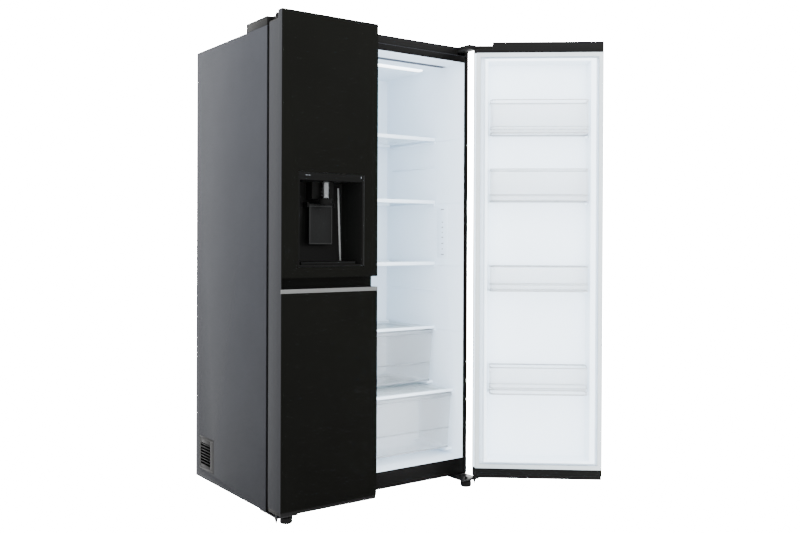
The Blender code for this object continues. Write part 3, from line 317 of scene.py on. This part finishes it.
def ring(bm, x, z, y, width):
    """A flat rectangular ring with square edges."""
    loops = []
    for depth in y:
        for shrink in (0.0, width):
            a, b = inset(x, shrink), inset(z, shrink)
            loops.append([bm.verts.new((a[i], depth, b[j]))
                          for i, j in ((0, 0), (1, 0), (1, 1), (0, 1))])
    front_out, front_in, back_out, back_in = loops
    for one, two in ((front_out, front_in), (back_in, back_out), (back_out, front_out),
                     (front_in, back_in)):
        for k in range(4):
            n = (k + 1) % 4
            bm.faces.new((one[k], one[n], two[n], two[k]))
    return [v for loop in loops for v in loop]


def soften(bm, width, segments=2):
    """Rounds off every sharp edge."""
    edges = [e for e in bm.edges if len(e.link_faces) == 2 and e.calc_face_angle(0.0) > 0.5]
    bmesh.ops.bevel(bm, geom=edges, offset=width, segments=segments, profile=0.5, affect="EDGES",
                    clamp_overlap=True, material=-1)


def of_node(node, width=0.0008, segments=2):
    """The shape of a CAD node in its home frame, with its sharp edges rounded off."""
    bm = bmesh.new()
    bm.from_mesh(NODES[node].data)
    bmesh.ops.transform(bm, matrix=turn_of(BODY[node], SHUT), verts=bm.verts)
    bmesh.ops.remove_doubles(bm, verts=bm.verts, dist=SAME_PLACE)
    if node in PIERCED:
        bmesh.ops.join_triangles(bm, faces=bm.faces, angle_face_threshold=0.01,
                                 angle_shape_threshold=3.1)
    else:
        bmesh.ops.dissolve_limit(bm, angle_limit=0.01, verts=bm.verts, edges=bm.edges)
    soften(bm, width, segments)
    return bm


def piece(name, bm, body, slot, look, *nodes, side_mark=False):
    """Puts a finished mesh in the scene. The CAD nodes that it stands for aren't shown.

    side_mark gives the faces that look left or right the second colour of their finish.
    """
    if side_mark:
        layer = bm.faces.layers.float.new("mark")
        bm.normal_update()
        for face in bm.faces:
            face[layer] = float(abs(face.normal.x) > 0.9)
    bmesh.ops.transform(bm, matrix=turn_of(body, OPEN), verts=bm.verts)
    mesh = bpy.data.meshes.new(name)
    bm.to_mesh(mesh)
    bm.free()
    obj = bpy.data.objects.new(name, mesh)
    bpy.context.scene.collection.objects.link(obj)
    mesh.shade_smooth()
    mesh.set_sharp_from_angle(angle=SHARP_EDGE)
    mesh.materials.append(FINISHES[look])
    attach(obj, body)
    if nodes:
        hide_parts(*nodes)
        done.update(nodes)


def rounded_node(node, width=0.0008, look=None, segments=2, side_mark=False):
    """Shows a CAD node in its own shape, with rounded edges, in the finish of its slot or another."""
    piece(f"{node}_look", of_node(node, width, segments), BODY[node], SLOTS[node],
          look or SLOTS[node], node, side_mark=side_mark)


# ---- Cabinet ----
def cabinet():
    """The outside of the cabinet: shell, base, front, back, hinges, feet and vent."""
    rounded_node("cabinet_shell", 0.0012)
    rounded_node("base_frame", 0.0004)
    front_frame()
    rounded_node("top_hinge_cover", 0.0014, segments=3)
    rounded_node("machine_room_cover", 0.0004)
    for side in ("left", "right"):
        rounded_node(f"top_hinge_{side}", 0.0006, "hinge_grey_and_edge_highlight")
        rounded_node(f"bottom_hinge_{side}", 0.0006)
        rounded_node(f"front_foot_{side}", 0.0004)
        rounded_node(f"rear_roller_{side}", 0.0008)
    rear()
    vent()


def front_frame():
    """The black front of the cabinet: posts and rails round the two openings."""
    x, y, z = room("front_frame")
    freezer, fresh_food = room("freezer_liner")[0], room("fresh_food_liner")[0]
    seal_z = room("fridge_door_gasket")[2]
    posts = ((x[0], freezer[0] + LINER_SHEET),
             (freezer[1] - LINER_SHEET, fresh_food[0] + LINER_SHEET),
             (fresh_food[1] - LINER_SHEET, x[1]))
    rails = ((z[0], seal_z[0] + SEAL_FACE), (seal_z[1] - SEAL_FACE - 0.0015, z[1]))
    bm = bmesh.new()
    for post in posts:
        block(bm, post, y, z, 0.0005)
    for rail in rails:
        block(bm, inset(x, 0.0002), inset(y, 0.0001), inset(rail, 0.0001), 0.0004)
    piece("front_frame_look", bm, "cabinet", "black_front", "frame_black", "front_frame")


def rear():
    """The back sheet with its pressed ribs and two rows of screws."""
    x, y, z = room("rear_panel")
    ribs, rib_width = 5, 0.110
    screws, screw_radius, end_gap, edge_gap = 7, 0.0038, 0.03, 0.012
    bm = bmesh.new()
    block(bm, x, y, z, 0.0005)
    for k in range(ribs):
        middle = x[0] + (x[1] - x[0]) * (k + 0.5) / ribs
        block(bm, about(middle, rib_width), (y[1] - 0.001, y[1] + 0.0006), inset(z, 0.08), 0.0008)
    for k in range(screws):
        across = x[0] + end_gap + (x[1] - x[0] - 2 * end_gap) * k / (screws - 1)
        for level in inset(z, edge_gap):
            rod(bm, (across, y[1] - 0.0005, level), screw_radius, 0.0014, "Y", 12)
    piece("rear_panel_look", bm, "cabinet", "zinc_steel", "zinc_steel", "rear_panel")


def vent():
    """The grille low on the left side: a frame, a plain field and a stack of slats."""
    x, y, z = room("side_vent_grille")
    border, field, low_bar, high_bar = 0.009, 0.034, 0.020, 0.026
    slats, pitch, slat_height = 9, 0.0118, 0.0030
    bm = bmesh.new()
    verts = ring(bm, y, z, (0.0, x[1] - x[0]), 0.010)
    bmesh.ops.rotate(bm, verts=verts, cent=(0, 0, 0), matrix=Matrix.Rotation(math.pi / 2, 3, "Z"))
    low = min(v.co.x for v in verts)
    bmesh.ops.translate(bm, verts=verts, vec=(x[0] - low, 0, 0))
    bmesh.ops.recalc_face_normals(bm, faces=bm.faces)
    soften(bm, 0.0006)
    sunk = (x[0] + 0.0006, x[1])
    block(bm, sunk, (y[0] + border, y[0] + field), inset(z, border), 0.0004)
    opening = (y[0] + field, y[1] - 0.010)
    for k in range(slats):
        level = z[0] + 0.018 + k * pitch
        block(bm, (x[0] + 0.0008, x[1]), opening, (level, level + slat_height), 0.0006)
    block(bm, sunk, opening, (z[0] + border, z[0] + low_bar), 0.0004)
    block(bm, sunk, opening, (z[1] - high_bar, z[1] - border), 0.0004)
    piece("side_vent_look", bm, "cabinet", "black_plastic", "black_plastic", "side_vent_grille")


# ---- Compartments ----
def liners():
    """The two compartments, with what is fixed inside them."""
    rounded_node("fresh_food_liner", 0.0020, "liner_white", 3)
    rounded_node("freezer_liner", 0.0020, "liner_white", 3)
    rounded_node("fresh_food_duct", 0.0020)
    rounded_node("evaporator_cover", 0.0010)
    rounded_node("ice_maker", 0.0030)
    ceiling()
    wall_lines()
    panel()


def ceiling():
    """The lamp bar, and a thin dark sheet in front of it, painted shade where the ceiling has a slot."""
    x, y, z = room("ceiling_lamp")
    bm = bmesh.new()
    block(bm, x, y, z, 0.0016, 3)
    piece("ceiling_lamp_look", bm, "cabinet", "clear_plastic", "lamp", "ceiling_lamp")
    wall = room("fresh_food_liner")[0][1]
    slot_reach, slot_ahead, slot_width = 0.18, 0.100, 0.034
    # A thin dark sheet on the ceiling: painted shade where the slot is.
    bm = bmesh.new()
    block(bm, (mid(x) - slot_reach, wall - 0.006), about(y[0] - slot_ahead, slot_width),
          (z[1] - 0.0004, z[1] + 0.0001))
    piece("ceiling_slot_painted_shade", bm, "cabinet", "black_plastic", "slot_painted_shade")


def wall_lines():
    """Shallow moulded ribs on the walls, between and in front of the shelves."""
    shelf_x, shelf_y, _ = room("glass_shelf_1")
    side_gap, rib_reach, ledge_drop = 0.003, 0.165, 0.105
    bm = bmesh.new()
    for wall, way in ((shelf_x[0] - side_gap, 1), (shelf_x[1] + side_gap, -1)):
        rib, ledge = (sorted((wall + way * 0.0002, wall + way * proud)) for proud in (0.0016, 0.0060))
        for name in ("glass_shelf_1", "glass_shelf_2", "glass_shelf_3", "upper_crisper_cover"):
            low = room(name)[2][0]
            block(bm, rib, (shelf_y[0] - rib_reach, shelf_y[0] - 0.004), (low - 0.002, low + 0.001),
                  0.0006)
        for name in ("glass_shelf_1", "glass_shelf_3"):
            low = room(name)[2][0] - ledge_drop
            block(bm, ledge, inset(shelf_y, 0.006, 0.030), (low - 0.006, low), 0.0015)
    piece("wall_ribs", bm, "cabinet", "white_plastic", "liner_white")


def panel():
    """The touch panel on the side wall, with generic marks down its middle."""
    x, y, z = room("touch_panel")
    bm = bmesh.new()
    block(bm, x, y, z, 0.0008, 2)
    piece("touch_panel_look", bm, "cabinet", "white_plastic", "liner_white", "touch_panel")
    bm = bmesh.new()
    for share, width in ((0.955, 0.022), (0.70, 0.008), (0.60, 0.010), (0.50, 0.006), (0.40, 0.012),
                         (0.28, 0.014), (0.17, 0.006), (0.06, 0.020)):
        level = z[0] + (z[1] - z[0]) * share
        block(bm, (x[0] - PRINT, x[0] + PRINT / 2), about(mid(y), width), about(level, 0.0035))
    piece("touch_panel_marks", bm, "cabinet", "white_plastic", "print_grey")


def glass_plate(node):
    """A glass shelf: the plate, a white moulding along the front and back, and a bead each side."""
    x, y, z = room(node)
    front, back, bead = 0.014, 0.012, 0.006
    bm = bmesh.new()
    block(bm, inset(x, 0.001), inset(y, 0.004), (z[1] - 0.0058, z[1] - 0.0020), 0.0006)
    piece(f"{node}_glass", bm, BODY[node], "glass", "glass", node)
    bm = bmesh.new()
    block(bm, x, (y[0], y[0] + front), z, 0.0022, 3)
    block(bm, x, (y[1] - back, y[1]), z, 0.0022, 3)
    for side in ((x[0], x[0] + bead), (x[1] - bead, x[1])):
        block(bm, side, inset(y, 0.010), (z[1] - 0.0072, z[1] - 0.0004), 0.0012)
    piece(f"{node}_edges", bm, BODY[node], "glass", "white_plastic")


def tray(node, front_lip=True):
    """A clear drawer: thin walls, a rim round its top, a pull ledge and a base rim."""
    x, y, z = room(node)
    lip, rim_width, rim_height, ledge_share = 0.004, 0.0032, 0.006, 0.36
    box_y = (y[0] + lip, y[1]) if front_lip else y
    bm = bmesh.new()
    hollow(bm, x, box_y, z, 0.0022, taper=0.010, round_off=0.006)
    piece(f"{node}_look", bm, BODY[node], SLOTS[node], "clear_plastic", node)
    bm = bmesh.new()
    rim = ring(bm, x, box_y, (0.0, rim_height), rim_width)
    bmesh.ops.rotate(bm, verts=rim, cent=(0, 0, 0), matrix=Matrix.Rotation(-math.pi / 2, 3, "X"))
    high = max(v.co.z for v in rim)
    near = min(v.co.y for v in rim)
    bmesh.ops.translate(bm, verts=rim, vec=(0, box_y[0] - near, z[1] - high))
    bmesh.ops.recalc_face_normals(bm, faces=bm.faces)
    soften(bm, 0.0006)
    if front_lip:
        block(bm, inset(x, 0.002), (y[0], y[0] + 0.006), (z[1] - 0.015, z[1] - 0.001), 0.0018, 3)
    ledge = z[0] + (z[1] - z[0]) * ledge_share
    block(bm, inset(x, 0.008), (box_y[0] + 0.0035, box_y[0] + 0.0085), (ledge, ledge + 0.0028), 0.001)
    block(bm, inset(x, 0.0105), (box_y[0] + 0.0100, box_y[0] + 0.0135), (z[0], z[0] + 0.007), 0.001)
    piece(f"{node}_rim", bm, BODY[node], SLOTS[node], "clear_rim")


def door_bin(node):
    """A clear bin with round front corners, and thicker bands at its foot, middle and top."""
    x, y, z = room(node)
    corner = 0.026
    bm = bmesh.new()
    hollow(bm, x, y, z, 0.0022, round_off=0.003, corner=corner)
    piece(f"{node}_look", bm, BODY[node], SLOTS[node], "clear_plastic", node)
    bm = bmesh.new()
    for level, height in ((z[0] + 0.0005, 0.0055), (z[0] + 0.026, 0.0028), (z[1] - 0.0045, 0.0045)):
        band = bmesh.new()
        hollow(band, inset(x, 0.0001), inset(y, 0.0001), (level, level + height), 0.0030, corner=corner)
        floor = [f for f in band.faces if abs(f.normal.z) > 0.9 and f.calc_area() > 0.008]
        bmesh.ops.delete(band, geom=floor, context="FACES")
        bmesh.ops.bridge_loops(band, edges=[e for e in band.edges if e.is_boundary])
        bmesh.ops.recalc_face_normals(band, faces=band.faces)
        merge(bm, band)
    piece(f"{node}_rim", bm, BODY[node], SLOTS[node], "clear_rim")


# ---- Doors ----
def gasket(prefix):
    """The door seal: a soft foot, a bellows fold and the magnet's flat face."""
    x, y, z = room(f"{prefix}_gasket")
    # Each has its step in from the edge, its width, and where in the depth it starts and ends.
    foot = (0.0020, 0.0130, 0.0, 0.35)
    fold = (0.0045, 0.0080, 0.33, 0.62)
    face = (0.0, SEAL_FACE, 0.60, 1.0)
    depth = y[1] - y[0]
    bm = bmesh.new()
    for shrink, width, start, end in (foot, fold, face):
        ring(bm, inset(x, shrink), inset(z, shrink), (y[0] + depth * start, y[0] + depth * end), width)
    bmesh.ops.recalc_face_normals(bm, faces=bm.faces)
    soften(bm, 0.0012, 3)
    piece(f"{prefix}_gasket_look", bm, prefix, "grey_rubber", "grey_rubber", f"{prefix}_gasket")


def doors():
    """Both doors: skin, caps, handle trims, liner and seal, and then the bins."""
    for prefix in ("fridge_door", "freezer_door"):
        rounded_node(f"{prefix}_skin", 0.0009, segments=3, side_mark=True)
        rounded_node(f"{prefix}_top_cap", 0.0009)
        rounded_node(f"{prefix}_bottom_cap", 0.0009)
        rounded_node(f"{prefix}_handle_trim", 0.0004)
        rounded_node(f"{prefix}_liner", 0.0028, "liner_white", 3)
        gasket(prefix)
    for node in sorted(NODES):
        if "_door_bin_" in node:
            door_bin(node)


# ---- Dispenser ----
def recess_details():
    """The bright strip down the recess's back corner, a painted highlight down the frame's right edge,
    and the control marks.
    """
    x, y, z = room("dispenser_housing")
    tray_x, _, tray_z = room("drip_tray")
    corner, strip_lean = tray_x[1] + 0.001, 0.010
    bm = bmesh.new()
    block(bm, (corner - 0.0085, corner - 0.0015), (y[1] - 0.0050, y[1] - 0.0030),
          (tray_z[1] + 0.001, z[1] - 0.045), 0.0004)
    high = max(v.co.z for v in bm.verts)
    for vert in bm.verts:
        if vert.co.z > high - 0.002:
            vert.co.x -= strip_lean
    piece("recess_strip", bm, "freezer_door", "black_plastic", "silver")
    # A painted highlight down the frame's right edge.
    bm = bmesh.new()
    block(bm, (x[1] - 0.0022, x[1] - 0.0004), (y[0] - 0.0003, y[0] + 0.0004), inset(z, 0.0015), 0.0003)
    piece("bezel_edge_highlight", bm, "freezer_door", "black_plastic", "hinge_grey_and_edge_highlight")
    bm = bmesh.new()
    level = z[1] - 0.010
    face = (y[0] - PRINT, y[0] + PRINT)
    for start, width in ((0.028, 0.006), (0.036, 0.003), (0.041, 0.005)):
        block(bm, (x[0] + start, x[0] + start + width), face, about(level, 0.0012))
    block(bm, about(x[1] - 0.014, 0.0014), face, about(level, 0.007))
    piece("control_marks", bm, "freezer_door", "black_plastic", "print_grey")


def nozzle():
    """The spout, with a groove round it, and the dark collar at its foot."""
    x, y, z = room("dispenser_nozzle")
    foot = (mid(x), mid(y), z[0])
    high = z[1] - z[0]
    spout, groove, seat = 0.0134, 0.0124, 0.0185
    bm = bmesh.new()
    turned(bm, foot, [(0.0, high), (0.0132, high), (spout, high - 0.002), (spout, 0.036),
                      (groove, 0.0345), (groove, 0.0315), (spout, 0.030), (spout, 0.021),
                      (0.0120, seat), (0.0, seat)])
    piece("dispenser_nozzle_look", bm, "freezer_door", "chrome", "chrome", "dispenser_nozzle")
    bm = bmesh.new()
    turned(bm, foot, [(0.0, 0.018), (0.0265, 0.018), (0.0280, 0.0165), (0.0288, 0.003), (0.0275, 0.0),
                      (0.0245, 0.0), (0.0235, 0.004), (0.0, 0.006)])
    piece("dispenser_collar", bm, "freezer_door", "chrome", "dispenser_black")


def lever():
    """The press pad with its pivot bar, and a thin grey rim round its face, a painted highlight on the
    pad's edge.
    """
    x, y, z = room("dispenser_lever")
    pivot = JOINTS["dispenser_lever_pivot"]["pos_m"]
    pad = inset(x, 0.008)
    bm = bmesh.new()
    block(bm, pad, (y[0] + 0.0025, y[1] - 0.001), (z[0], z[1] - 0.004), 0.0022, 3)
    rod(bm, (x[0], pivot[1], pivot[2]), 0.0044, x[1] - x[0], "X", 16)
    piece("dispenser_lever_look", bm, "dispenser_lever", "black_plastic", "pad_black",
          "dispenser_lever")
    # The grey rim is a painted highlight on the pad's edge.
    bm = bmesh.new()
    ring(bm, inset(pad, 0.001), (z[0] + 0.001, z[1] - 0.008), (y[0] + 0.0012, y[0] + 0.0035), 0.0035)
    bmesh.ops.recalc_face_normals(bm, faces=bm.faces)
    soften(bm, 0.0007)
    piece("dispenser_lever_rim", bm, "dispenser_lever", "black_plastic", "hinge_grey_and_edge_highlight")


def dispenser():
    """The water dispenser in the left door."""
    rounded_node("dispenser_housing", 0.0006, "dispenser_black")
    rounded_node("drip_tray", 0.0004, "dispenser_black")
    recess_details()
    nozzle()
    lever()


# ---- Parts out of sight, light and camera ----
def carried_over():
    """The CAD nodes that stay as they are get the finish of their slot."""
    for name, node in NODES.items():
        if name not in done:
            node.data.materials.clear()
            node.data.materials.append(FINISHES[SLOTS[name]])


def backdrop_floor():
    """A pale matt floor. The camera sees it as plain backdrop, and the object is lit by it."""
    bm = bmesh.new()
    bmesh.ops.create_grid(bm, x_segments=1, y_segments=1, size=30.0)
    mesh = bpy.data.meshes.new("floor")
    bm.to_mesh(mesh)
    bm.free()
    floor = bpy.data.objects.new("floor", mesh)
    bpy.context.scene.collection.objects.link(floor)
    pale = bpy.data.materials.new("pale_floor")
    pale.use_nodes = True
    nodes, links = pale.node_tree.nodes, pale.node_tree.links
    shader = nodes["Principled BSDF"]
    shader.inputs["Base Color"].default_value = (0.93, 0.93, 0.93, 1.0)
    shader.inputs["Roughness"].default_value = 0.9
    shader.inputs["Specular IOR Level"].default_value = 0.1
    seen = nodes.new("ShaderNodeLightPath")
    bright = nodes.new("ShaderNodeEmission")
    bright.inputs["Strength"].default_value = BACKDROP
    mix = nodes.new("ShaderNodeMixShader")
    links.new(seen.outputs["Is Camera Ray"], mix.inputs["Fac"])
    links.new(shader.outputs["BSDF"], mix.inputs[1])
    links.new(bright.outputs["Emission"], mix.inputs[2])
    links.new(mix.outputs["Shader"], nodes["Material Output"].inputs["Surface"])
    mesh.materials.append(pale)


def sky():
    """White light from all round, brighter where the camera looks straight at it."""
    world = bpy.data.worlds.new("studio")
    world.use_nodes = True
    nodes, links = world.node_tree.nodes, world.node_tree.links
    seen = nodes.new("ShaderNodeLightPath")
    level = nodes.new("ShaderNodeMapRange")
    level.inputs["To Min"].default_value = SKY
    level.inputs["To Max"].default_value = BACKDROP
    links.new(seen.outputs["Is Camera Ray"], level.inputs["Value"])
    links.new(level.outputs["Result"], nodes["Background"].inputs["Strength"])
    nodes["Background"].inputs["Color"].default_value = (1.0, 1.0, 1.0, 1.0)
    bpy.context.scene.world = world


def lamps():
    """Two broad soft lamps, one to the left and one ahead, both aimed at the object's middle."""
    middle = Vector((mid((LOW.x, HIGH.x)), mid((LOW.y, HIGH.y)), 0.0))
    for name, at, size, power in (("left", (-3.2, 0.6, 2.6), 2.4, 60.0),
                                  ("front", (-0.6, -3.6, 2.9), 2.6, 70.0)):
        lamp = bpy.data.lights.new(name, "AREA")
        lamp.size = size
        lamp.energy = power
        obj = bpy.data.objects.new(name, lamp)
        obj.location = middle + Vector(at)
        aim = (middle + Vector((0, 0, 0.9))) - obj.location
        obj.rotation_euler = aim.to_track_quat("-Z", "Y").to_euler()
        bpy.context.scene.collection.objects.link(obj)


def camera():
    """The view from the front left, at the height of the dispenser."""
    middle = mid(room("cabinet_shell")[0])
    front = room("freezer_door_skin")[1][0]
    to_left, ahead, height = 1.9168, 2.7721, 1.0005
    yaw, pitch, roll = (math.radians(a) for a in (36.427, 0.314, -0.249))
    lens = bpy.data.cameras.new("camera")
    lens.lens = 40.66
    lens.shift_x = -0.0242
    lens.shift_y = -0.0284
    obj = bpy.data.objects.new("camera", lens)
    obj.location = (middle - to_left, front - ahead, height)
    obj.rotation_euler = (Matrix.Rotation(-yaw, 3, "Z") @ Matrix.Rotation(math.pi / 2 - pitch, 3, "X")
                          @ Matrix.Rotation(-roll, 3, "Z")).to_euler()
    bpy.context.scene.collection.objects.link(obj)
    bpy.context.scene.camera = obj


cabinet()
liners()
for shelf in ("glass_shelf_1", "glass_shelf_2", "glass_shelf_3", "upper_crisper_cover",
              "lower_crisper_cover", "freezer_shelf"):
    glass_plate(shelf)
for drawer in ("upper_crisper", "lower_crisper"):
    tray(drawer)
for drawer in ("ice_bin", "freezer_drawer"):
    tray(drawer, front_lip=False)
doors()
dispenser()
carried_over()
backdrop_floor()
sky()
lamps()
camera()
